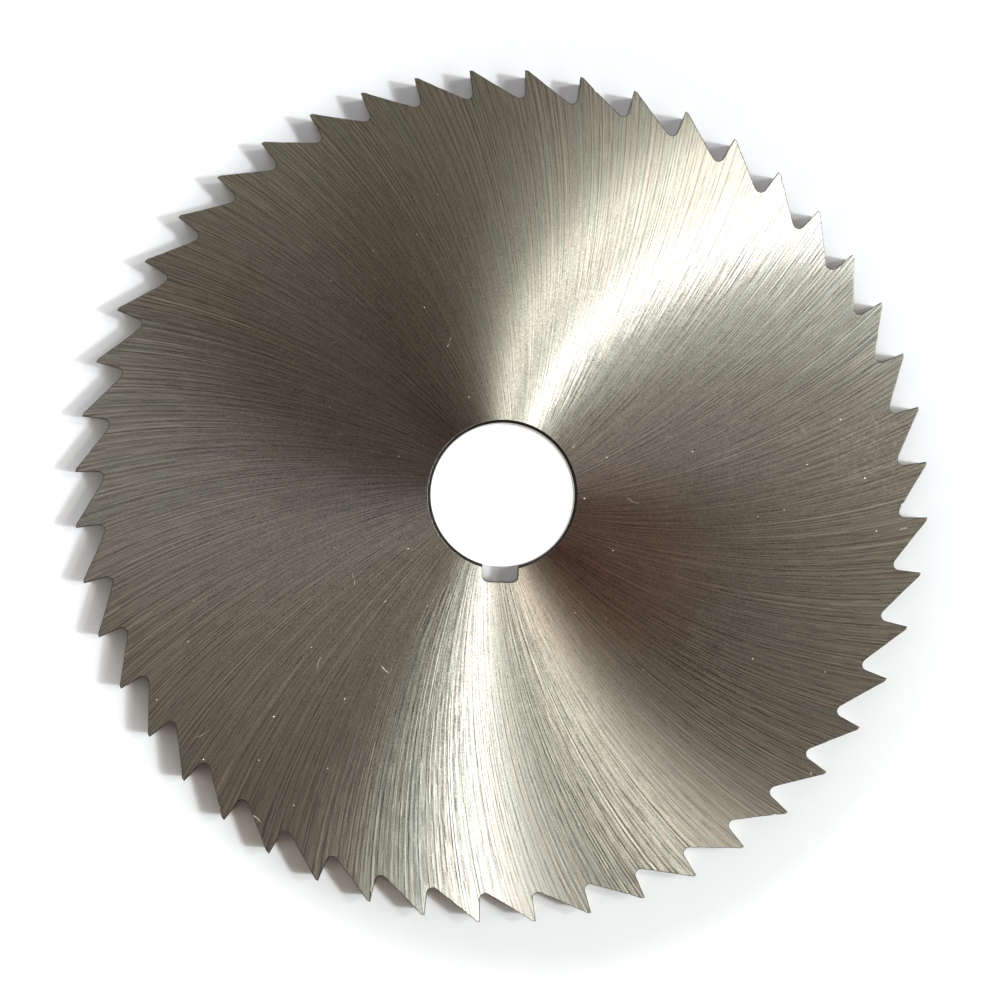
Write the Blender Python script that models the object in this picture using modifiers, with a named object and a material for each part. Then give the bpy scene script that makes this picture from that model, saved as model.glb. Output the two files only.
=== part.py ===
"""A metal slitting saw: one flat disc with straight teeth, a keyed bore and hollow-ground sides.

It lies on one side. The bore's axis is +Z through the origin, the lowest side of the teeth is at
Z = 0, and the keyway points to -Y. Seen from above, the teeth cut anticlockwise.
"""

import cmath
import math

import bmesh
import bpy

MM = 0.001

# The blank, turned all over and then ground on both sides.
outside_diameter = 150.0 * MM
tooth_width = 6.0 * MM
bore_diameter = 25.4 * MM
bore_chamfer = 0.5 * MM

# Each side is flat where the arbor's collars clamp it. From there it rises to the teeth, which
# are the widest part of the saw, so that the disc behind them never rubs in the cut.
clamping_land_diameter = 47.0 * MM
side_relief = 0.1 * MM

# The teeth. The rake leans the cutting face forward of the radius, and the relief drops the
# narrow land behind the edge. The back then runs straight down to the round of the gullet.
tooth_count = 48
tooth_depth = 5.0 * MM
rake_angle = math.radians(4.0)
tip_land = 0.6 * MM
relief_angle = math.radians(8.0)
gullet_radius = 1.0 * MM
first_tip_angle = math.radians(6.25)

# The keyway, for a quarter-inch key in a one-inch bore. Its depth is taken from the bore's wall,
# which puts its floor 28.04 mm from the wall opposite.
keyway_width = 6.35 * MM
keyway_depth = 2.64 * MM
keyway_corner_radius = 1.2 * MM

# Facets. The blank's facets line up with the tips, so that each tip has the full width.
facets_per_tooth = 3
gullet_facets = 7
corner_facets = 5
cutter_margin = 2.0 * MM

bore_radius = bore_diameter / 2
tip_radius = outside_diameter / 2
pitch_angle = 2 * math.pi / tooth_count


def clear_scene():
    """Removes whatever the scene holds."""
    for obj in list(bpy.data.objects):
        bpy.data.objects.remove(obj)


def new_collection(name):
    """A collection linked to the scene."""
    collection = bpy.data.collections.new(name)
    bpy.context.scene.collection.children.link(collection)
    return collection


def ground_steel():
    """Hardened tool steel with a satin ground finish."""
    material = bpy.data.materials.new("ground_tool_steel")
    material.use_nodes = True
    shader = material.node_tree.nodes["Principled BSDF"]
    shader.inputs["Base Color"].default_value = (0.42, 0.40, 0.35, 1.0)
    shader.inputs["Metallic"].default_value = 1.0
    shader.inputs["Roughness"].default_value = 0.36
    return material


def side_height_at(radius):
    """How far the lower side has risen off Z = 0 at this radius outside the clamping land."""
    land_radius = clamping_land_diameter / 2
    return side_relief * (tip_radius - radius) / (tip_radius - land_radius)


def blank_section():
    """The blank's section as (radius, height), down the outside and back up through the bore.

    The outside stands a margin proud of the tips, on the same slope, until the teeth are cut.
    """
    rim_radius = tip_radius + cutter_margin
    land_radius = clamping_land_diameter / 2
    lower_side = [
        (rim_radius, side_height_at(rim_radius)),
        (land_radius, side_relief),
        (bore_radius + bore_chamfer, side_relief),
        (bore_radius, side_relief + bore_chamfer),
    ]
    upper_side = [(radius, tooth_width - height) for radius, height in lower_side]
    return upper_side[:1] + lower_side + upper_side[:0:-1]


def turned_blank(name, section):
    """The section carried once round the Z axis, with its first facet edge at the first tip."""
    count = len(section)
    mesh = bpy.data.meshes.new(name)
    edges = [(i, (i + 1) % count) for i in range(count)]
    mesh.from_pydata([(radius, 0, height) for radius, height in section], edges, [])
    blank = bpy.data.objects.new(name, mesh)
    blank.rotation_euler.z = first_tip_angle
    screw = blank.modifiers.new("turning", "SCREW")
    screw.axis = "Z"
    screw.angle = 2 * math.pi
    screw.steps = screw.render_steps = tooth_count * facets_per_tooth
    screw.merge_threshold = 1e-6
    return blank


def arc(centre, radius, start, end, facets):
    """Points along an arc, as complex numbers, with both ends."""
    step = (end - start) / facets
    return [centre + cmath.rect(radius, start + step * i) for i in range(facets + 1)]


def one_pitch():
    """The edge of one pitch as complex numbers, from a tip on the real axis to the next land.

    It runs down the cutting face, round the gullet and up the back of the next tooth. The
    gullet's circle touches the face, and its lowest point is one tooth depth inside the tips.
    """
    tip = complex(tip_radius, 0)
    down_face = -cmath.rect(1, rake_angle)
    off_face = cmath.rect(1, math.pi / 2 + rake_angle)

    beside_tip = tip + off_face * gullet_radius
    centre_distance = tip_radius - tooth_depth + gullet_radius
    along = (beside_tip * down_face.conjugate()).real
    drop = -along - math.sqrt(along**2 - abs(beside_tip) ** 2 + centre_distance**2)
    centre = beside_tip + down_face * drop

    land_end = cmath.rect(tip_radius, pitch_angle) - cmath.rect(
        tip_land, math.pi / 2 + pitch_angle - relief_angle
    )
    to_centre = centre - land_end
    back_length = math.sqrt(abs(to_centre) ** 2 - gullet_radius**2)
    turn = math.asin(gullet_radius / abs(to_centre))
    back_foot = land_end + cmath.rect(back_length, cmath.phase(to_centre) - turn)

    round_start = 1.5 * math.pi + rake_angle
    round_end = cmath.phase(back_foot - centre) % (2 * math.pi)
    gullet = arc(centre, gullet_radius, round_start, round_end, gullet_facets)
    return [tip, *gullet, land_end]


def toothed_outline():
    """The whole edge: one pitch, repeated round the axis from the first tip."""
    pitch = one_pitch()
    turns = [first_tip_angle + pitch_angle * k for k in range(tooth_count)]
    return [cmath.rect(1, turn) * point for turn in turns for point in pitch]


def keyway_outline():
    """The keyway from inside the bore to its floor, whose two corners are rounded."""
    half_width = keyway_width / 2
    floor = bore_radius + keyway_depth
    corner = min(keyway_corner_radius, 0.45 * keyway_width, 0.9 * keyway_depth)
    left = complex(corner - half_width, corner - floor)
    right = complex(half_width - corner, corner - floor)
    left_corner = arc(left, corner, math.pi, 1.5 * math.pi, corner_facets)
    right_corner = arc(right, corner, 1.5 * math.pi, 2 * math.pi, corner_facets)
    return [complex(-half_width, 0), *left_corner, *right_corner, complex(half_width, 0)]


def plate_cutter(name, outline):
    """The outline as a plate that runs past both sides of the saw."""
    curve = bpy.data.curves.new(name + "_outline", "CURVE")
    curve.dimensions = "2D"
    curve.fill_mode = "BOTH"
    curve.extrude = tooth_width / 2 + cutter_margin
    spline = curve.splines.new("POLY")
    spline.points.add(len(outline) - 1)
    for spline_point, point in zip(spline.points, outline):
        spline_point.co = (point.real, point.imag, 0, 1)
    spline.use_cyclic_u = True

    flat = bpy.data.objects.new(name + "_outline", curve)
    flat.location.z = tooth_width / 2
    bpy.context.scene.collection.objects.link(flat)
    bpy.context.view_layer.update()
    evaluated = flat.evaluated_get(bpy.context.evaluated_depsgraph_get())
    mesh = bpy.data.meshes.new_from_object(evaluated)
    plate = bpy.data.objects.new(name, mesh)
    plate.matrix_world = flat.matrix_world
    bpy.data.objects.remove(flat)

    welded = bmesh.new()
    welded.from_mesh(mesh)
    bmesh.ops.remove_doubles(welded, verts=welded.verts, dist=1e-6)
    bmesh.ops.recalc_face_normals(welded, faces=welded.faces)
    welded.to_mesh(mesh)
    welded.free()

    plate.hide_render = True
    plate.display_type = "WIRE"
    return plate


def cut(body, cutter, operation):
    """Adds an exact Boolean to the body."""
    boolean = body.modifiers.new(cutter.name, "BOOLEAN")
    boolean.operation = operation
    boolean.solver = "EXACT"
    boolean.object = cutter


def finish_mesh(obj, material):
    """Bakes the modifiers, so that rounds can be shaded smooth and edges kept sharp."""
    bpy.context.view_layer.update()
    evaluated = obj.evaluated_get(bpy.context.evaluated_depsgraph_get())
    obj.data = bpy.data.meshes.new_from_object(evaluated)
    obj.modifiers.clear()
    obj.data.shade_smooth()
    obj.data.set_sharp_from_angle(angle=math.radians(25.0))
    obj.data.materials.clear()
    obj.data.materials.append(material)


def make_saw():
    """Turns the blank, cuts the teeth and the keyway, and gives the disc its steel."""
    parts = new_collection("slitting_saw")
    cutters = new_collection("cutters")

    saw = turned_blank("saw_blade", blank_section())
    parts.objects.link(saw)
    teeth = plate_cutter("teeth", toothed_outline())
    keyway = plate_cutter("keyway", keyway_outline())
    for cutter in (teeth, keyway):
        cutters.objects.link(cutter)

    cut(saw, teeth, "INTERSECT")
    cut(saw, keyway, "DIFFERENCE")
    finish_mesh(saw, ground_steel())


clear_scene()
make_saw()
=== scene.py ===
import math

import bpy
import numpy as np
from mathutils import Matrix, Vector


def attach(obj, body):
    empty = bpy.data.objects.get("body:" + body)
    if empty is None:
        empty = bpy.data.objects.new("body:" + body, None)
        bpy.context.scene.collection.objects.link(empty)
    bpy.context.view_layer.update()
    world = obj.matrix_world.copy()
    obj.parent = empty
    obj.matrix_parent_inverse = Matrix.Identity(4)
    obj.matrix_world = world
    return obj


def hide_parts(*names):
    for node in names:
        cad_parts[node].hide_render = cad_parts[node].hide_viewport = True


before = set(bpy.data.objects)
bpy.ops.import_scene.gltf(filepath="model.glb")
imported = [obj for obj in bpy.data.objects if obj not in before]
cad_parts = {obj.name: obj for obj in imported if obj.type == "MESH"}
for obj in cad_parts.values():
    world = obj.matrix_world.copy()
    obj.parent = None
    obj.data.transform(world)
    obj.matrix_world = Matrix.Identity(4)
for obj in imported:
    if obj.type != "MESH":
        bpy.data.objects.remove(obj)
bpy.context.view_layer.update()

# The saw's body: one disc of hardened high-speed steel. It is turned, its teeth are gashed one
# after another, its keyway is broached, and a cup wheel grinds both sides hollow, so that the
# teeth are the widest part. This mesh keeps the solid's sizes and adds the marks of the tools.
MM = 0.001
tip_radius = 75.0 * MM
tooth_width = 6.0 * MM
tooth_count = 48
tooth_depth = 5.0 * MM
rake_angle = math.radians(4.0)
tip_land = 0.6 * MM
relief_angle = math.radians(8.0)
gullet_radius = 1.0 * MM
first_tip_angle = math.radians(6.25)

bore_radius = 12.7 * MM
bore_chamfer = 0.5 * MM
keyway_half_width = 3.175 * MM
keyway_floor = 15.34 * MM
keyway_corner_radius = 1.2 * MM
keyway_angle = math.radians(-90.0)

clamping_land_radius = 23.5 * MM
side_relief = 0.1 * MM
ring_radii = (16.5 * MM, clamping_land_radius, 34 * MM, 46 * MM, 58 * MM, 68 * MM)

edge_round = 0.12 * MM          # the teeth's edges, broken by deburring
keyway_edge_round = 0.10 * MM
shading_margin = 0.03 * MM      # rows beside an edge, which keep the sides' shading flat
back_waviness = 0.09 * MM       # how far the gashing cutter left the backs out of true
nick_count = 14                 # knocks on the teeth, from lying among other tools
nick_depth = 0.24 * MM

face_steps, gullet_steps, back_steps, land_steps = 8, 12, 20, 3


def tooth_pitch():
    """The edge of one pitch as complex numbers, from a tip on the real axis to the next tip.

    It runs down the cutting face, which leans forward of the radius by the rake angle, round
    the gullet's circle, which touches that face and the tooth depth, and up the straight back
    to the land, which drops from the next tip by the relief angle. The last point is left out.
    """
    pitch_angle = 2 * math.pi / tooth_count
    tip = complex(tip_radius, 0)
    down_face = -np.exp(1j * rake_angle)
    beside_tip = tip + gullet_radius * np.exp(1j * (math.pi / 2 + rake_angle))
    centre_distance = tip_radius - tooth_depth + gullet_radius
    along = (beside_tip * np.conj(down_face)).real
    drop = -along - math.sqrt(along**2 - abs(beside_tip) ** 2 + centre_distance**2)
    centre = beside_tip + down_face * drop
    face_foot = tip + down_face * drop

    next_tip = tip_radius * np.exp(1j * pitch_angle)
    land_direction = np.exp(1j * (math.pi / 2 + pitch_angle - relief_angle))
    land_end = next_tip - tip_land * land_direction
    to_centre = centre - land_end
    back_length = math.sqrt(abs(to_centre) ** 2 - gullet_radius**2)
    turn = math.asin(gullet_radius / abs(to_centre))
    back_foot = land_end + back_length * np.exp(1j * (np.angle(to_centre) - turn))

    start = np.angle(face_foot - centre)
    sweep = (start - np.angle(back_foot - centre)) % (2 * math.pi)
    gullet_turns = start - sweep * np.arange(gullet_steps) / gullet_steps
    gullet = centre + gullet_radius * np.exp(1j * gullet_turns)
    face = tip + (face_foot - tip) * np.arange(face_steps) / face_steps
    back = back_foot + (land_end - back_foot) * np.arange(back_steps) / back_steps
    land = land_end + (next_tip - land_end) * np.arange(land_steps) / land_steps
    return np.concatenate([face, gullet, back, land])


def tooth_outline(rng):
    """The whole edge: the pitch repeated round the axis, with worn and uneven teeth.

    Each point of a back moves into the steel by a smooth random amount, which fades out towards
    the foot and the land, so that every tip keeps its place. A nick takes one point of a face
    or back further in.
    """
    pitch = tooth_pitch()
    count = len(pitch)
    turns = np.exp(1j * (first_tip_angle + 2 * math.pi * np.arange(tooth_count) / tooth_count))
    points = (turns[:, None] * pitch[None, :]).ravel()

    rough = rng.random((tooth_count, count))
    smooth = (2 * rough + np.roll(rough, 1, axis=1) + np.roll(rough, -1, axis=1)) / 4
    on_back = np.zeros(count)
    back_start = face_steps + gullet_steps
    back_end = back_start + back_steps
    on_back[back_start:back_end] = np.sin(np.linspace(0.15, math.pi, back_steps)) ** 0.5
    inward = smooth * on_back * back_waviness

    places = np.r_[2:face_steps - 1, back_start + 2:back_end - 2]
    nicked_teeth = rng.integers(0, tooth_count, nick_count)
    nicked_places = rng.choice(places, nick_count)
    inward[nicked_teeth, nicked_places] += nick_depth * rng.uniform(0.5, 1.0, nick_count)
    return points - inset(points) * inward.ravel()


def inset(points):
    """For each point of the closed edge, the outward step that moves both its sides by one unit."""
    side = np.roll(points, -1) - points
    normal = -1j * side / abs(side)
    before = np.roll(normal, 1)
    return (before + normal) / (1 + (before * np.conj(normal)).real)


def bore_edge(angle, key_offset, bore_offset):
    """The bore's radius at an angle: its circle or the keyway, whichever lies further out.

    The keyway is a rectangle with two round corners. A ray from the axis meets its wall at
    half width / sin, its floor at floor / cos, or a corner's circle where both lie past it.
    """
    turn = np.abs((angle - keyway_angle + math.pi) % (2 * math.pi) - math.pi)
    half, floor = keyway_half_width + key_offset, keyway_floor + key_offset
    corner = keyway_corner_radius + key_offset
    sine, cosine = np.maximum(np.sin(turn), 1e-9), np.maximum(np.cos(turn), 1e-9)
    ray = np.minimum(half / sine, floor / cosine)
    in_corner = (ray * sine > half - corner) & (ray * cosine > floor - corner)
    towards = sine * (half - corner) + cosine * (floor - corner)
    apart = (half - corner) ** 2 + (floor - corner) ** 2 - corner**2
    ray = np.where(in_corner, towards + np.sqrt(np.maximum(towards**2 - apart, 0)), ray)
    ray = np.where(turn < math.pi / 2, ray, 0)
    return np.maximum(ray, bore_radius + bore_offset)


def side_height(radius):
    """The upper side's height: the full width at the tips, falling to the clamping land."""
    fall = (tip_radius - radius) / (tip_radius - clamping_land_radius)
    return tooth_width - side_relief * np.clip(fall, 0, 1)


def saw_rows(outline):
    """The rows of the disc's upper half, from the middle of the bore's wall to the rim's middle.

    Each row has one point (as a complex number) and one height for every point of the edge.
    Out to just inside the gullets the points lie on circles. From there they run in straight
    lines to the edge, and the last rows follow it, rounding its corner by a quarter circle.
    """
    count = len(outline)
    gullet_middle = face_steps + gullet_steps // 2
    gullet_angle = np.angle(outline[gullet_middle])
    angle = gullet_angle + 2 * math.pi * (np.arange(count) - gullet_middle) / count
    spoke = np.exp(1j * angle)
    middle = np.full(count, tooth_width / 2)

    wall = bore_edge(angle, 0, 0)
    top = side_height(0 * wall)
    drop = np.maximum(keyway_edge_round, bore_chamfer - (wall - bore_radius))
    brim = bore_edge(angle, keyway_edge_round, bore_chamfer)
    rows = [
        (spoke * wall, middle),
        (spoke * wall, top - drop - shading_margin),
        (spoke * wall, top - drop),
        (spoke * (wall + (brim - wall) * 0.08), top - drop * 0.92),
        (spoke * (wall + (brim - wall) * 0.92), top - drop * 0.08),
        (spoke * brim, top),
        (spoke * (brim + shading_margin), top),
    ]
    for radius in ring_radii:
        rows.append((spoke * radius, np.full(count, side_height(radius))))

    outward = inset(outline)
    last_circle = spoke * ring_radii[-1]
    flat_edge = outline - outward * (edge_round + shading_margin)
    for share in (0.35, 0.7, 1.0):
        point = last_circle + (flat_edge - last_circle) * share
        rows.append((point, side_height(abs(point))))
    for turn in np.radians((0, 30, 60, 90)):
        point = outline - outward * edge_round * (1 - math.sin(turn))
        height = side_height(abs(point)) - edge_round * (1 - math.cos(turn))
        rows.append((point, height))
    rows.append((outline, side_height(abs(outline)) - edge_round - shading_margin))
    rows.append((outline, middle))
    return rows


def disc_mesh(name, outline):
    """The closed skin: the upper rows, then the same rows mirrored below, joined round.

    Each face also gets the number of its finish: 0 for the ground sides, 1 for the gullets and
    the teeth's backs, 2 for the bore's wall, 3 for its chamfers and the rounded edges of the
    gullets and cutting faces, which are painted near black as shade, and 4 for the cutting faces.
    """
    upper = saw_rows(outline)
    lower = [(point, tooth_width - height) for point, height in upper[-2:0:-1]]
    rows = upper + lower
    plan = np.array([point for point, height in rows])
    heights = np.array([height for point, height in rows])
    row_count, column_count = plan.shape
    vertices = np.stack([plan.real, plan.imag, heights], axis=-1).reshape(-1, 3)

    row = np.arange(row_count)[:, None]
    column = np.arange(column_count)[None, :]
    next_row, next_column = (row + 1) % row_count, (column + 1) % column_count
    corners = [row * column_count + column, next_row * column_count + column,
               next_row * column_count + next_column, row * column_count + next_column]
    faces = np.stack(np.broadcast_arrays(*corners), axis=-1).reshape(-1, 4)

    mesh = bpy.data.meshes.new(name)
    mesh.vertices.add(len(vertices))
    mesh.vertices.foreach_set("co", vertices.ravel())
    mesh.loops.add(faces.size)
    mesh.loops.foreach_set("vertex_index", faces.ravel())
    mesh.polygons.add(len(faces))
    mesh.polygons.foreach_set("loop_start", np.arange(0, faces.size, 4))
    mesh.update(calc_edges=True)
    mesh.validate()

    half = len(upper) - 1
    round_rows, wall_rows = 3, 2
    edge = half - round_rows - wall_rows
    place = column % (column_count // tooth_count)
    finish = np.zeros((row_count, column_count), int)
    # Finish 3 is near black: painted shade on the chamfers and on the edges of the gullets and
    # faces.
    finish[:5] = np.array((2, 2, 3, 3, 3))[:, None]
    finish[edge:edge + round_rows] = np.where(place < face_steps + gullet_steps, 3, 1)
    finish[edge + round_rows:half] = np.where(place < face_steps, 4, 1)
    finish[half:] = finish[:half][::-1]
    mesh.polygons.foreach_set("material_index", finish.ravel())
    mesh.polygons.foreach_set("use_smooth", np.ones(len(faces), bool))
    mesh.update()
    return mesh


def linear(hex_colour):
    """An sRGB hex colour as linear red, green, blue and alpha."""
    srgb = [int(hex_colour[i:i + 2], 16) / 255 for i in (0, 2, 4)]
    return tuple(c / 12.92 if c <= 0.04045 else ((c + 0.055) / 1.055) ** 2.4 for c in srgb) + (1.0,)


def add(owner, kind, inputs=None, **settings):
    """Adds a node with its settings. An input is a value, a socket or a node's first output."""
    tree = owner.node_tree
    node = tree.nodes.new(kind)
    for name, value in settings.items():
        setattr(node, name, value)
    for key, value in (inputs or {}).items():
        if isinstance(value, bpy.types.Node):
            tree.links.new(value.outputs[0], node.inputs[key])
        elif isinstance(value, bpy.types.NodeSocket):
            tree.links.new(value, node.inputs[key])
        else:
            node.inputs[key].default_value = value
    return node


def new_material(name):
    """An empty node material, and the place on it in millimetres."""
    material = bpy.data.materials.new(name)
    material.use_nodes = True
    material.node_tree.nodes.clear()
    place = add(material, "ShaderNodeTexCoord").outputs["Object"]
    return material, add(material, "ShaderNodeVectorMath", {0: place, "Scale": 1 / MM},
                         operation="SCALE")


# The cup wheel that grinds the sides: its rim sweeps arcs of this radius, and each arc passes
# the saw's axis at a small distance, so the grinding lines leave the bore nearly radially and
# lean further round towards the teeth.
wheel_radius = 136.0      # mm
wheel_miss = 1.5          # mm


def wheel_arcs(steel, flat, radius):
    """Three unit vectors for the arc through this point: its own, the one across and along it.

    Its own points from the axis towards the arc's centre, and is the same all along the arc.
    With D the centre's distance, its cosine to the radius is (r2 + D2 - wheel2) / 2rD. Across
    the arc is the line to its centre. Along it is a quarter turn from that.
    """
    out = add(steel, "ShaderNodeVectorMath", {0: flat}, operation="NORMALIZE")
    round_about = add(steel, "ShaderNodeVectorMath", {0: (0, 0, 1), 1: out},
                      operation="CROSS_PRODUCT")

    centre_distance = math.sqrt(wheel_radius**2 - 2 * wheel_radius * wheel_miss)
    offset = (wheel_radius**2 - centre_distance**2) / (2 * centre_distance)
    near = add(steel, "ShaderNodeMath", {0: offset, 1: radius}, operation="DIVIDE")
    far = add(steel, "ShaderNodeMath", {0: radius, 1: 0.5 / centre_distance}, operation="MULTIPLY")
    cosine = add(steel, "ShaderNodeMath", {0: far, 1: near}, operation="SUBTRACT")
    angle = add(steel, "ShaderNodeMath", {0: cosine}, operation="ARCCOSINE")
    sine = add(steel, "ShaderNodeMath", {0: angle}, operation="SINE")
    outward_part = add(steel, "ShaderNodeVectorMath", {0: out, "Scale": cosine.outputs[0]},
                       operation="SCALE")
    arc = add(steel, "ShaderNodeVectorMath", {0: round_about, 1: sine, 2: outward_part},
              operation="MULTIPLY_ADD")

    from_centre = add(steel, "ShaderNodeVectorMath", {0: arc, "Scale": -centre_distance},
                      operation="SCALE")
    towards = add(steel, "ShaderNodeVectorMath", {0: flat, 1: from_centre}, operation="ADD")
    across = add(steel, "ShaderNodeVectorMath", {0: towards}, operation="NORMALIZE")
    along = add(steel, "ShaderNodeVectorMath", {0: (0, 0, 1), 1: across},
                operation="CROSS_PRODUCT")
    return arc, across, along


def grit_tracks(steel, arc_turn, radius, per_radian, length, seed):
    """A random value from 0 to 1 for each track of one grain.

    The tracks lie side by side across the arcs, so many to a radian. Each is cut into pieces of
    this length in mm, which start anywhere.
    """
    count = add(steel, "ShaderNodeMath", {0: arc_turn, 1: per_radian}, operation="MULTIPLY")
    number = add(steel, "ShaderNodeMath", {0: count}, operation="FLOOR")
    numbered = add(steel, "ShaderNodeMath", {0: number, 1: seed}, operation="ADD")
    start = add(steel, "ShaderNodeTexWhiteNoise", {"W": numbered}, noise_dimensions="1D")
    pieces = add(steel, "ShaderNodeMath", {0: radius, 1: 1 / length, 2: start},
                 operation="MULTIPLY_ADD")
    piece = add(steel, "ShaderNodeMath", {0: pieces}, operation="FLOOR")
    place = add(steel, "ShaderNodeCombineXYZ", {0: numbered, 1: piece})
    return add(steel, "ShaderNodeTexWhiteNoise", {"Vector": place}, noise_dimensions="2D")


def even_tracks(steel, arc_turn, radius, per_radian, length, seeds):
    """Tracks that are as wide by the teeth as by the bore, where fewer of them lie to a radian.

    The two counts, and the two seeds, are for inside 20 mm and outside 40 mm. Between, one set
    of tracks fades into the other.
    """
    far_out = add(steel, "ShaderNodeMapRange", {
        "Value": radius, "From Min": 20.0, "From Max": 40.0}, interpolation_type="SMOOTHSTEP")
    inner, outer = (grit_tracks(steel, arc_turn, radius, count, length, seed)
                    for count, seed in zip(per_radian, seeds))
    return add(steel, "ShaderNodeMix", {0: far_out, 2: inner, 3: outer})


def round_patch(steel, flat, centre, radii, inside, outside):
    """A value inside a circle on the side, which fades smoothly to another between two radii."""
    away = add(steel, "ShaderNodeVectorMath", {0: flat, 1: centre}, operation="DISTANCE")
    return add(steel, "ShaderNodeMapRange", {
        "Value": away.outputs["Value"], "From Min": radii[0], "From Max": radii[1],
        "To Min": inside, "To Max": outside}, interpolation_type="SMOOTHSTEP").outputs[0]


def handling_scratches(steel, mm, flat):
    """1 on a scratch and 0 beside it. Each cell of 14 mm has one or none.

    In its cell a scratch runs in a random direction, slightly bent to y = -0.12 x2. It is up to
    3 mm long, and drawn 0.07 mm wide so that it shows.
    """
    cells = add(steel, "ShaderNodeTexVoronoi", {"Vector": mm, "Scale": 0.07},
                voronoi_dimensions="2D")
    chance = add(steel, "ShaderNodeSeparateXYZ", {0: cells.outputs["Color"]})
    aside = add(steel, "ShaderNodeVectorMath", {0: flat, 1: cells.outputs["Position"]},
                operation="SUBTRACT")
    turn = add(steel, "ShaderNodeMath", {0: chance.outputs[0], 1: 2 * math.pi},
               operation="MULTIPLY")
    turned = add(steel, "ShaderNodeVectorRotate", {"Vector": aside, "Angle": turn},
                 rotation_type="Z_AXIS")
    spot = add(steel, "ShaderNodeSeparateXYZ", {0: turned})
    bend = add(steel, "ShaderNodeMath", {0: spot.outputs[0], 1: spot.outputs[0]},
               operation="MULTIPLY")
    off_line = add(steel, "ShaderNodeMath", {0: bend, 1: 0.12, 2: spot.outputs[1]},
                   operation="MULTIPLY_ADD")
    on_line = add(steel, "ShaderNodeMath", {0: off_line, 1: 0.0, 2: 0.035}, operation="COMPARE")
    reach = add(steel, "ShaderNodeMath", {0: chance.outputs[1], 1: 3.0, 2: -1.5},
                operation="MULTIPLY_ADD")
    in_reach = add(steel, "ShaderNodeMath", {0: spot.outputs[0], 1: 0.0, 2: reach},
                   operation="COMPARE")
    return add(steel, "ShaderNodeMath", {0: on_line, 1: in_reach}, operation="MULTIPLY")


def tiny_dents(steel, mm):
    """1 in a dent of 0.2 mm, in every second cell of 9 mm, and the way that each cell glints."""
    cells = add(steel, "ShaderNodeTexVoronoi", {"Vector": mm, "Scale": 0.11},
                voronoi_dimensions="2D")
    dented = add(steel, "ShaderNodeMath", {
        0: add(steel, "ShaderNodeSeparateXYZ", {0: cells.outputs["Color"]}).outputs[1], 1: 0.5},
        operation="GREATER_THAN")
    dents = add(steel, "ShaderNodeMapRange", {
        "Value": cells.outputs["Distance"], "From Min": 0.008, "From Max": 0.015,
        "To Min": dented, "To Max": 0.0})
    glint = add(steel, "ShaderNodeMath", {0: cells.outputs["Color"], 1: 0.5},
                operation="SUBTRACT")
    return dents, glint


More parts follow.
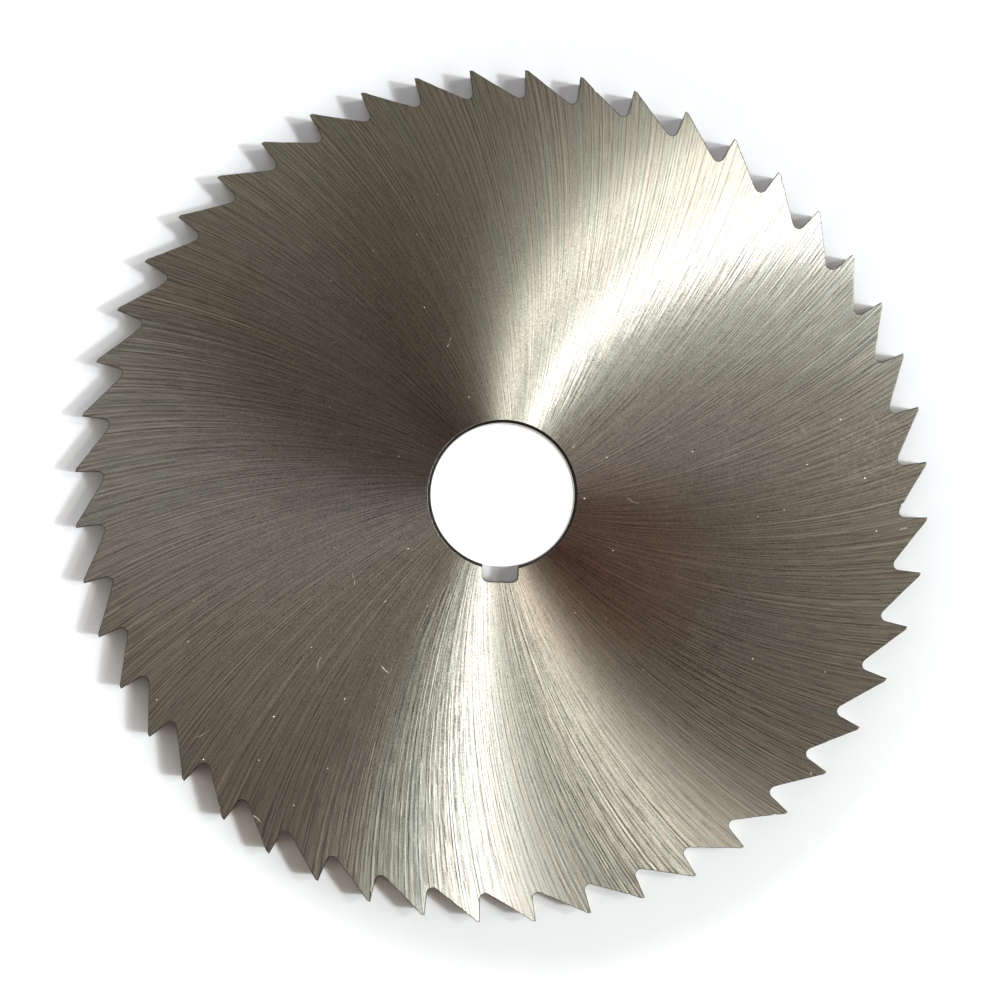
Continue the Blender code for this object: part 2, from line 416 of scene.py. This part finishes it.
def ground_high_speed_steel():
    """High-speed steel, surface-ground dry by a cup wheel.

    The grit leaves curved lines from the bore to the teeth. They mirror light only across
    themselves, so the disc shows bright fans that turn with it.
    """
    steel, mm = new_material("ground_high_speed_steel")
    flat = add(steel, "ShaderNodeVectorMath", {0: mm, 1: (1, 1, 0)}, operation="MULTIPLY")
    radius = add(steel, "ShaderNodeVectorMath", {0: flat}, operation="LENGTH").outputs["Value"]
    arc, across, along = wheel_arcs(steel, flat, radius)
    arc_parts = add(steel, "ShaderNodeSeparateXYZ", {0: arc})
    arc_turn = add(steel, "ShaderNodeMath", {0: arc_parts.outputs[1], 1: arc_parts.outputs[0]},
                   operation="ARCTAN2")

    # Real tracks are 0.02 mm wide. They are drawn here 0.13 to 0.3 mm wide so that they show. What
    # one grain leaves high the next one cuts low: each track is the difference of two random
    # values, the second of which is its neighbour's first.
    high = even_tracks(steel, arc_turn, radius, (100.0, 250.0), 60.0, (0.5, 5000.5))
    low = even_tracks(steel, arc_turn, radius, (100.0, 250.0), 60.0, (1.5, 5001.5))
    tracks = add(steel, "ShaderNodeMath", {0: high, 1: low}, operation="SUBTRACT")

    # Where single grains broke out, the tracks are pitted: dashes 2.5 mm long, and points.
    dashes = even_tracks(steel, arc_turn, radius, (150.0, 400.0), 2.5, (9000.5, 13000.5))
    points = add(steel, "ShaderNodeTexNoise", {"Vector": mm, "Scale": 6.0, "Detail": 0.0})

    # The wheel's face wore unevenly, so tracks lie in bundles, up to 2 mm wide and 40 mm long.
    turned = add(steel, "ShaderNodeVectorMath", {0: arc, "Scale": 40.0}, operation="SCALE")
    outwards = add(steel, "ShaderNodeMath", {0: radius, 1: 1 / 40.0}, operation="MULTIPLY")
    lift = add(steel, "ShaderNodeCombineXYZ", {2: outwards})
    spot = add(steel, "ShaderNodeVectorMath", {0: turned, 1: lift}, operation="ADD")
    bundles = add(steel, "ShaderNodeTexNoise", {
        "Vector": spot, "Scale": 1.0, "Detail": 2.0, "Roughness": 0.8})

    # Below the bore, where the lamps' fans lie, the marks are made 1.8 times as strong, falling
    # back to plain 18 to 42 mm from the patch's middle. There they turn the reflection further, and
    # their stronger tone is painted sparkle.
    marks = add(steel, "ShaderNodeVectorMath", {
        0: add(steel, "ShaderNodeCombineXYZ", {0: tracks, 1: dashes, 2: bundles}),
        1: (0, 0.5, 0.5)}, operation="SUBTRACT")
    mark_and_sparkle_gain = round_patch(steel, flat, (17, -46, 0), (18.0, 42.0), 1.8, 1.0)
    marks = add(steel, "ShaderNodeVectorMath", {0: marks, "Scale": mark_and_sparkle_gain}, operation="SCALE")

    # A few grains stood proud of the wheel and scored single bright lines, up to 30 mm long.
    score_chance = grit_tracks(steel, arc_turn, radius, 420.0, 30.0, 17000.5)
    scores = add(steel, "ShaderNodeMath", {0: score_chance, 1: 0.97}, operation="GREATER_THAN")
    scratches = handling_scratches(steel, mm, flat)
    dents, glint = tiny_dents(steel, mm)

    # The lines don't all run true to the wheel's arc, least of all near the bore, which breaks
    # the fans' edges into streaks. Scratches and dents mirror in directions of their own.
    swing = add(steel, "ShaderNodeVectorMath", {0: marks, 1: (0.04, 0.05, 0.02)},
                operation="DOT_PRODUCT").outputs["Value"]
    swing = add(steel, "ShaderNodeMath", {0: scores, 1: 0.04, 2: swing}, operation="MULTIPLY_ADD")
    closeness = add(steel, "ShaderNodeMath", {0: 8.0, 1: radius}, operation="DIVIDE")
    looseness = add(steel, "ShaderNodeMath", {0: closeness, 1: 0.75}, operation="ADD")
    swing = add(steel, "ShaderNodeMath", {0: swing, 1: looseness}, operation="MULTIPLY")
    swing = add(steel, "ShaderNodeMath", {0: scratches, 1: 0.4, 2: swing},
                operation="MULTIPLY_ADD")
    turned_dents = add(steel, "ShaderNodeMath", {0: dents, 1: glint}, operation="MULTIPLY")
    swing = add(steel, "ShaderNodeMath", {0: turned_dents, 1: 6.0, 2: swing},
                operation="MULTIPLY_ADD")
    leant = add(steel, "ShaderNodeVectorMath", {0: along, 1: swing, 2: across},
                operation="MULTIPLY_ADD")
    tangent = add(steel, "ShaderNodeVectorMath", {0: leant}, operation="NORMALIZE")

    # Brightness: the marks on a plain level, and a cloud of rubbed spots by the rim.
    tone = add(steel, "ShaderNodeVectorMath", {0: marks, 1: (0.42, 0.34, 0.10)},
               operation="DOT_PRODUCT").outputs["Value"]
    for mark, brightness in ((points, 1.1), (scores, 0.5), (scratches, 0.35), (dents, 0.7)):
        tone = add(steel, "ShaderNodeMath", {0: mark, 1: brightness, 2: tone},
                   operation="MULTIPLY_ADD")
    rubbed = round_patch(steel, flat, (66, 10, 0), (3.0, 15.0), 1.0, 0.0)
    spots = add(steel, "ShaderNodeTexNoise", {"Vector": mm, "Scale": 1.6, "Detail": 2.0})
    spots = add(steel, "ShaderNodeMapRange", {
        "Value": spots, "From Min": 0.5, "From Max": 0.7, "To Max": 0.35})
    tone = add(steel, "ShaderNodeMath", {0: rubbed, 1: spots, 2: tone}, operation="MULTIPLY_ADD")

    # To the right of the bore the side is a little lighter and browner, fading out 6 to 26 mm from
    # the patch's middle.
    brown_patch = round_patch(steel, flat, (20, -11, 0), (6.0, 26.0), 0.5, 0.0)
    tone = add(steel, "ShaderNodeMath", {0: brown_patch, 1: 0.2, 2: tone}, operation="MULTIPLY_ADD")
    tone = add(steel, "ShaderNodeMath", {0: tone, 1: 0.45}, operation="ADD")
    tone = add(steel, "ShaderNodeClamp", {"Value": tone, "Min": 0.25, "Max": 2.4}).outputs[0]

    # Bare tool steel is grey with a touch of yellow. Heat from the wheel leaves some bundles of
    # lines a little browner.
    heat = add(steel, "ShaderNodeMath", {0: bundles, 1: 1.4, 2: -0.3}, operation="MULTIPLY_ADD",
               use_clamp=True)
    bare = add(steel, "ShaderNodeMix", {0: heat, 6: linear("A0A399"), 7: linear("AC9E93")},
               data_type="RGBA").outputs[2]
    hue = add(steel, "ShaderNodeMix", {0: brown_patch, 6: bare, 7: linear("B3927F")},
              data_type="RGBA").outputs[2]
    colour = add(steel, "ShaderNodeVectorMath", {0: hue, "Scale": tone}, operation="SCALE")

    relief = add(steel, "ShaderNodeMath", {0: scratches, 1: -1.0, 2: points},
                 operation="MULTIPLY_ADD")
    relief = add(steel, "ShaderNodeMath", {0: dents, 1: -4.0, 2: relief},
                 operation="MULTIPLY_ADD")
    bump = add(steel, "ShaderNodeBump", {"Strength": 0.5, "Distance": 0.01 * MM, "Height": relief})
    shader = add(steel, "ShaderNodeBsdfPrincipled", {
        "Base Color": colour, "Metallic": 1.0, "Roughness": 0.33, "Anisotropic": 1.0,
        "Tangent": tangent, "Normal": bump})
    add(steel, "ShaderNodeOutputMaterial", {"Surface": shader})
    return steel


def gashed_high_speed_steel():
    """The gullets and the teeth's backs: high-speed steel as the gashing wheel left it.

    The wheel leaves marks up and down the wall, about 0.3 mm apart, and hardening has turned
    them brown.
    """
    steel, mm = new_material("gashed_high_speed_steel")
    standing = add(steel, "ShaderNodeVectorMath", {0: mm, 1: (1.0, 1.0, 0.12)},
                   operation="MULTIPLY")
    marks = add(steel, "ShaderNodeTexNoise", {
        "Vector": standing, "Scale": 3.0, "Detail": 3.0, "Roughness": 0.7})
    scale = add(steel, "ShaderNodeTexNoise", {
        "Vector": mm, "Scale": 0.35, "Detail": 2.0, "Roughness": 0.6})
    shade = add(steel, "ShaderNodeMix", {0: scale, 6: linear("5E5246"), 7: linear("40362C")},
                data_type="RGBA").outputs[2]
    tone = add(steel, "ShaderNodeMapRange", {
        "Value": marks, "From Min": 0.3, "From Max": 0.7, "To Min": 0.65, "To Max": 1.15})
    colour = add(steel, "ShaderNodeVectorMath", {0: shade, "Scale": tone.outputs[0]},
                 operation="SCALE")
    bump = add(steel, "ShaderNodeBump", {"Strength": 0.6, "Distance": 0.03 * MM, "Height": marks})
    shader = add(steel, "ShaderNodeBsdfPrincipled", {
        "Base Color": colour, "Metallic": 1.0, "Roughness": 0.28, "Normal": bump})
    add(steel, "ShaderNodeOutputMaterial", {"Surface": shader})
    return steel


def ground_cutting_face():
    """The teeth's cutting faces: high-speed steel, ground last and sharp, so nearly a mirror.

    They throw the light that meets them down onto what the saw lies on.
    """
    steel, mm = new_material("ground_cutting_face")
    standing = add(steel, "ShaderNodeVectorMath", {0: mm, 1: (0.5, 0.5, 1.0)},
                   operation="MULTIPLY")
    marks = add(steel, "ShaderNodeTexNoise", {
        "Vector": standing, "Scale": 4.0, "Detail": 3.0, "Roughness": 0.7})
    shade = add(steel, "ShaderNodeMix", {0: marks, 6: linear("D2CABB"), 7: linear("B4AA9A")},
                data_type="RGBA").outputs[2]
    bump = add(steel, "ShaderNodeBump", {"Strength": 0.3, "Distance": 0.01 * MM, "Height": marks})
    shader = add(steel, "ShaderNodeBsdfPrincipled", {
        "Base Color": shade, "Metallic": 1.0, "Roughness": 0.2, "Normal": bump})
    add(steel, "ShaderNodeOutputMaterial", {"Surface": shader})
    return steel


def bored_high_speed_steel():
    """The bore's wall and the keyway: internally ground, with rings 0.2 mm apart round it."""
    steel, mm = new_material("bored_high_speed_steel")
    round_it = add(steel, "ShaderNodeVectorMath", {0: mm, 1: (0.15, 0.15, 1.0)},
                   operation="MULTIPLY")
    rings = add(steel, "ShaderNodeTexNoise", {
        "Vector": round_it, "Scale": 4.0, "Detail": 3.0, "Roughness": 0.65})
    # The steel is painted darker than the sides', partly as shade on the bore's wall.
    shade = add(steel, "ShaderNodeMix", {0: rings, 6: linear("574E44"), 7: linear("857B6E")},
                data_type="RGBA").outputs[2]
    bump = add(steel, "ShaderNodeBump", {"Strength": 0.5, "Distance": 0.02 * MM, "Height": rings})
    shader = add(steel, "ShaderNodeBsdfPrincipled", {
        "Base Color": shade, "Metallic": 1.0, "Roughness": 0.35, "Normal": bump})
    add(steel, "ShaderNodeOutputMaterial", {"Surface": shader})
    return steel


def black_steel_painted_shade():
    """Painted shade: near-black steel on the bore's chamfers, turned before hardening, and the
    gullets' edges.
    """
    steel, mm = new_material("black_steel_painted_shade")
    flakes = add(steel, "ShaderNodeTexNoise", {
        "Vector": mm, "Scale": 2.5, "Detail": 4.0, "Roughness": 0.7})
    shade = add(steel, "ShaderNodeMix", {0: flakes, 6: linear("0C0A09"), 7: linear("2A2520")},
                data_type="RGBA").outputs[2]
    dull = add(steel, "ShaderNodeMapRange", {
        "Value": flakes, "From Min": 0.3, "From Max": 0.7, "To Min": 0.45, "To Max": 0.7})
    shader = add(steel, "ShaderNodeBsdfPrincipled", {
        "Base Color": shade, "Metallic": 0.6, "Roughness": dull})
    add(steel, "ShaderNodeOutputMaterial", {"Surface": shader})
    return steel


outline = tooth_outline(np.random.default_rng(48))
saw = bpy.data.objects.new("ground_saw", disc_mesh("ground_saw", outline))
bpy.context.scene.collection.objects.link(saw)
for finish in (ground_high_speed_steel, gashed_high_speed_steel, bored_high_speed_steel,
               black_steel_painted_shade, ground_cutting_face):
    saw.data.materials.append(finish())
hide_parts("saw_blade")
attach(saw, "root")

# The floor: a plain white sheet of paper, far wider than the saw that lies loose on it. Only the
# camera and reflections see the paper's added white. It keeps the saw's shadow, except where
# painted light whitens the shadow in the bore and lightens it beside the teeth on the left.
floor_half_size = 3.0
floor_height = -0.02 * MM
floor_mesh = bpy.data.meshes.new("white_floor")
floor_mesh.from_pydata([(x * floor_half_size, y * floor_half_size, floor_height)
                        for x, y in ((-1, -1), (1, -1), (1, 1), (-1, 1))], [], [(0, 1, 2, 3)])
floor = bpy.data.objects.new("white_floor", floor_mesh)
bpy.context.scene.collection.objects.link(floor)


def white_paper():
    """Smooth white paper, faintly blue from its brightener, with a dull, even face.

    The added white is whole where the bore shows the paper, painted light over the saw's shadow
    there.
    Round the saw it rises over 13 mm to a quarter: from under the teeth on the left, where it
    paints light over the saw's shadow, and from 7 mm outside them on the right.
    """
    paper, mm = new_material("white_paper")
    path = add(paper, "ShaderNodeLightPath")
    glossy_or_through = add(paper, "ShaderNodeMath", {
        0: path.outputs["Is Glossy Ray"], 1: path.outputs["Is Transmission Ray"]},
        operation="MAXIMUM")
    seen = add(paper, "ShaderNodeMath", {0: path.outputs["Is Camera Ray"], 1: glossy_or_through},
               operation="MAXIMUM")
    off_axis = add(paper, "ShaderNodeVectorMath", {0: mm}, operation="LENGTH").outputs["Value"]
    off_side = add(paper, "ShaderNodeVectorMath", {0: mm, 1: (12, 0, 0)},
                   operation="DISTANCE").outputs["Value"]
    # On the left the added white starts under the teeth: painted light over the saw's shadow there.
    outside = add(paper, "ShaderNodeMapRange", {
        "Value": off_side, "From Min": 80.0, "From Max": 93.0, "To Max": 0.25,
    }, interpolation_type="SMOOTHSTEP")
    far_off = add(paper, "ShaderNodeMapRange", {
        "Value": off_axis, "From Min": 82.0, "From Max": 95.0, "To Max": 0.25,
    }, interpolation_type="SMOOTHSTEP")
    outside = add(paper, "ShaderNodeMath", {0: outside, 1: far_off}, operation="MAXIMUM")
    # Painted light: in the bore the paper glows fully white, over the saw's shadow there.
    painted_light_in_bore = add(paper, "ShaderNodeMapRange", {
        "Value": off_axis, "From Min": 12.6, "From Max": 12.8, "To Min": 1.0, "To Max": 0.0})
    white = add(paper, "ShaderNodeMath", {0: outside, 1: painted_light_in_bore}, operation="MAXIMUM")
    grain = add(paper, "ShaderNodeTexNoise", {"Vector": mm, "Scale": 0.8, "Detail": 3.0})
    sheet = add(paper, "ShaderNodeMix", {0: grain, 6: linear("EFF0F2"), 7: linear("F2F3F5")},
                data_type="RGBA").outputs[2]
    shader = add(paper, "ShaderNodeBsdfPrincipled", {
        "Base Color": sheet, "Roughness": 0.9, "Emission Color": (1, 1, 1, 1),
        "Emission Strength": add(paper, "ShaderNodeMath", {0: seen, 1: white},
                                 operation="MULTIPLY")})
    add(paper, "ShaderNodeOutputMaterial", {"Surface": shader})
    return paper


floor_mesh.materials.append(white_paper())

# The light: a window to the right of the saw, a small lamp beside it, and a dim room round them.
# Directions are in the photograph's own axes, with 0 degrees to its right and 90 to its top, and
# the sizes of lamps and lobes set how wide the fans on the disc are.
photo_roll = math.radians(1.793)


def direction(azimuth, elevation):
    """A unit vector by its azimuth and elevation in degrees in the photograph's axes."""
    turn, rise = math.radians(azimuth) + photo_roll, math.radians(elevation)
    return Vector((math.cos(rise) * math.cos(turn), math.cos(rise) * math.sin(turn),
                   math.sin(rise)))


def area_lamp(name, azimuth, elevation, distance, width, height, radiance, colour):
    """A rectangular lamp that faces the saw. Its radiance is what a mirror would show of it."""
    data = bpy.data.lights.new(name, "AREA")
    data.shape = "RECTANGLE"
    data.size, data.size_y = width, height
    data.color = linear(colour)[:3]
    data.energy = radiance * width * height * math.pi
    lamp = bpy.data.objects.new(name, data)
    towards = direction(azimuth, elevation)
    lamp.location = towards * distance
    lamp.rotation_euler = towards.to_track_quat("Z", "Y").to_euler()
    bpy.context.scene.collection.objects.link(lamp)


area_lamp("key_window", -6.7, 50.3, 2.0, 0.15, 0.19, 212.0, "F4F8FF")
area_lamp("small_lamp", 14.3, 57.3, 0.96, 0.034, 0.086, 138.0, "FFFFFA")
area_lamp("window_reflector", -19.2, 46.2, 0.62, 0.125, 0.125, 6.9, "EBFFFD")

room = bpy.data.worlds.new("room")
room.use_nodes = True
room.node_tree.nodes.clear()
room_lights = [
    # azimuth, elevation and spread in degrees, brightness, colour
    (1, 41, 22, 5.2, "F6FFF6"),       # the glow of the window's frame and curtain
    (110, 9, 31, 5.1, "E3EAFF"),      # a second window, low behind the saw
    (70, 12, 22, 3.0, "F4F3FF"),      # the wall beside it
    (1, 77, 8, 1.8, "F7FFEC"),        # the ceiling over the first window
    (144, 62, 21, 1.15, "FCFFF2"),    # the ceiling behind the saw
    (197, 38, 32, 0.85, "F0FFEC"),    # the wall to its left
    (92, 51, 25, 0.3, "E8FFCB"),      # the wall over the second window
    (-46, 46, 24, 0.66, "FFECE8"),    # the curtain's fold to the right
]
view = add(room, "ShaderNodeTexCoord").outputs["Generated"]
light = tuple(0.046 * channel for channel in linear("FF4628")[:3])   # the rest is a dim red-brown
for azimuth, elevation, spread, brightness, colour in room_lights:
    facing = add(room, "ShaderNodeVectorMath", {0: view, 1: direction(azimuth, elevation)},
                 operation="DOT_PRODUCT").outputs["Value"]
    strength = add(room, "ShaderNodeMapRange", {
        "Value": facing, "From Min": math.cos(math.radians(spread)), "To Max": brightness,
    }, interpolation_type="SMOOTHSTEP")
    light = add(room, "ShaderNodeVectorMath", {
        0: linear(colour)[:3], 1: strength, 2: light}, operation="MULTIPLY_ADD")
sky = add(room, "ShaderNodeBackground", {"Color": light})
add(room, "ShaderNodeOutputWorld", {"Surface": sky})
bpy.context.scene.world = room

# The camera: it looks straight down from about a third of a metre, a little left of and below
# the saw's middle, with the picture turned by the photograph's small roll.
camera_data = bpy.data.cameras.new("camera")
camera_data.sensor_width = 36.0
camera_data.lens = 66.57
camera = bpy.data.objects.new("camera", camera_data)
bpy.context.scene.collection.objects.link(camera)
right = Vector((math.cos(photo_roll), math.sin(photo_roll), 0))
up = Vector((-math.sin(photo_roll), math.cos(photo_roll), 0))
aim = (-0.455 * MM, -0.923 * MM, 5.9 * MM)         # to the right, up the picture, above the floor
stand_off = (-4.57 * MM, -3.98 * MM, 325 * MM)     # the same, from the aim to the eye
target = right * aim[0] + up * aim[1] + Vector((0, 0, aim[2]))
eye = target + right * stand_off[0] + up * stand_off[1] + Vector((0, 0, stand_off[2]))
back = (eye - target).normalized()
level = (up - back * up.dot(back)).normalized()
side = level.cross(back)
camera.matrix_world = Matrix((
    (side.x, level.x, back.x, eye.x),
    (side.y, level.y, back.y, eye.y),
    (side.z, level.z, back.z, eye.z),
    (0, 0, 0, 1),
))
bpy.context.scene.camera = camera
bpy.context.scene.view_settings.view_transform = "Standard"
